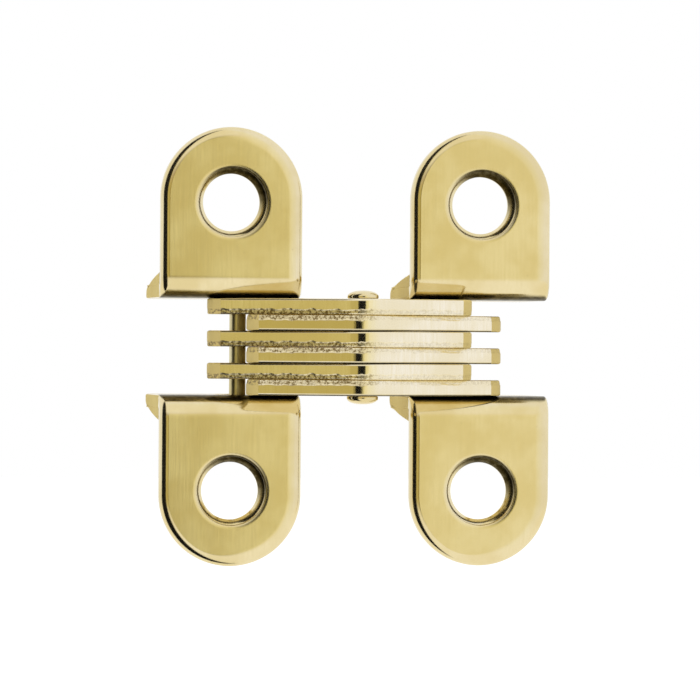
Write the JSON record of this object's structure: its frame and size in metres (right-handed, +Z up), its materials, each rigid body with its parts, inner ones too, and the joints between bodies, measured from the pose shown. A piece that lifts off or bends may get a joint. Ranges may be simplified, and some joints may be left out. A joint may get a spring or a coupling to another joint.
{
  "type": "invisible hinge",
  "caption": "Small brass-plated invisible mortise hinge: two eared leaves joined by a stack of scissor links on riveted pins, laid open flat.",
  "frame": {"origin": "centre of the left leaf's two screw holes, on the back face of its ears", "axes": "+X from the left leaf to the right leaf with the hinge open, +Y from the face of the leaves into the wood, +Z up along the pins"},
  "size_m": [0.0344, 0.0164, 0.0382],
  "materials": {
    "leaf_plate": "bright brass plating with faint upright brushing",
    "link_plate": "brass plating over stamped edges, smooth above and torn below",
    "pin_wire": "dull brass-coloured wire, riveted ends"
  },
  "bodies": {
    "left_leaf": {"left_upper_plate": "leaf_plate", "left_lower_plate": "leaf_plate", "left_pivot_pin": "pin_wire"},
    "left_links": {"left_link_upper": "link_plate", "left_link_middle": "link_plate", "left_link_lower": "link_plate", "centre_pin": "pin_wire", "right_slide_pin": "pin_wire"},
    "right_links": {"right_link_upper": "link_plate", "right_link_middle": "link_plate", "right_link_lower": "link_plate", "left_slide_pin": "pin_wire"},
    "right_leaf": {"right_upper_plate": "leaf_plate", "right_lower_plate": "leaf_plate", "right_pivot_pin": "pin_wire"}
  },
  "joints": [
    {"name": "left_pivot", "type": "hinge", "parent": "left_leaf", "child": "left_links", "pos_m": [0.00442, 0.0036, 0], "axis": [0, 0, -1], "range_deg": [0, 95.85]},
    {"name": "centre_pivot", "type": "hinge", "parent": "left_links", "child": "right_links", "pos_m": [0.01102, -0.0039, 0], "axis": [0, 0, -1], "range_deg": [-11.72, 0]},
    {"name": "right_pivot", "type": "hinge", "parent": "right_links", "child": "right_leaf", "pos_m": [0.01762, 0.0036, 0], "axis": [0, 0, -1], "range_deg": [0, 95.86]}
  ],
  "couplings": [
    {"joint": "centre_pivot", "follows": "left_pivot", "ratio": -0.12223},
    {"joint": "right_pivot", "follows": "left_pivot", "ratio": 1}
  ]
}
